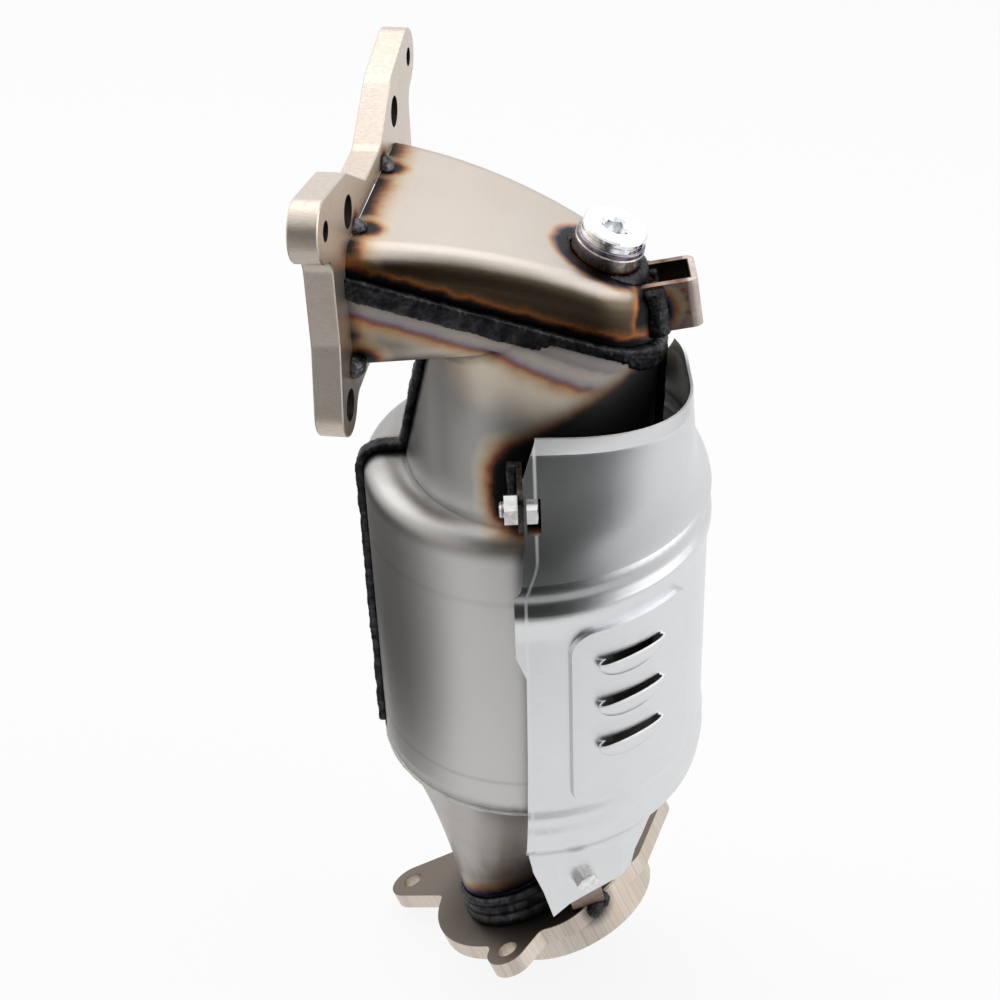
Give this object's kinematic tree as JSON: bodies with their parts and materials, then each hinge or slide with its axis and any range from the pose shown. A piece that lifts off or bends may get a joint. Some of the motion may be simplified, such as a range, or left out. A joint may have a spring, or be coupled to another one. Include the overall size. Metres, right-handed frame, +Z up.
{
  "type": "catalytic converter",
  "caption": "Close-coupled exhaust converter: head flange, pressed duct, round can, cone, bolt-on outlet flange, plugged sensor bung and a wrap-round heat shield.",
  "frame": {"origin": "point midway between the two stud holes beside the inlet port, on the face that meets the cylinder head", "axes": "+X out of the head face towards the can, +Z up along the can, from outlet to inlet, +Y to the far side of the flange from the sensor bracket's view"},
  "size_m": [0.1427, 0.1614, 0.4096],
  "materials": {
    "flange_steel": "ground and lightly oxidised",
    "can_steel": "rolled stainless, heat tinted beside the welds",
    "cover_steel": "pressed stainless, straw and brown heat tint",
    "weld_metal": "dark rippled weld",
    "tack_metal": "small bright-edged tacks",
    "shield_alloy": "bright aluminised sheet, fine brushing",
    "plug_steel": "bright zinc plating",
    "washer_copper": "blued by heat",
    "bung_steel": "turned, tinted by the weld",
    "bracket_steel": "heat tinted and lightly rusted",
    "fixing_zinc": "zinc plated",
    "ceramic_brick": "washcoated honeycomb",
    "mat_fibre": "pressed fibre"
  },
  "bodies": {
    "root": {"inlet_flange": "flange_steel", "inlet_cover": "cover_steel", "front_shell": "can_steel", "rear_shell": "can_steel", "outlet_cone": "can_steel", "exit_flange": "flange_steel", "sensor_bung": "bung_steel", "sensor_plug": "plug_steel", "plug_washer": "washer_copper", "sensor_bracket": "bracket_steel", "heat_shield": "shield_alloy", "shield_bracket_upper": "bracket_steel", "shield_bracket_lower": "bracket_steel", "upper_bolt": "fixing_zinc", "upper_nut": "fixing_zinc", "lower_bolt": "fixing_zinc", "lower_nut": "fixing_zinc", "catalyst_substrate": "ceramic_brick", "support_mat": "mat_fibre", "weld_cover_seam": "weld_metal", "weld_shell_left": "weld_metal", "weld_shell_right": "weld_metal", "weld_inlet_tacks": "tack_metal", "weld_bung_collar": "weld_metal", "weld_bracket_base": "weld_metal", "weld_exit_ring": "weld_metal", "weld_shield_foot": "weld_metal", "weld_can_rim": "weld_metal", "weld_upper_tab": "weld_metal"}
  },
  "joints": []
}
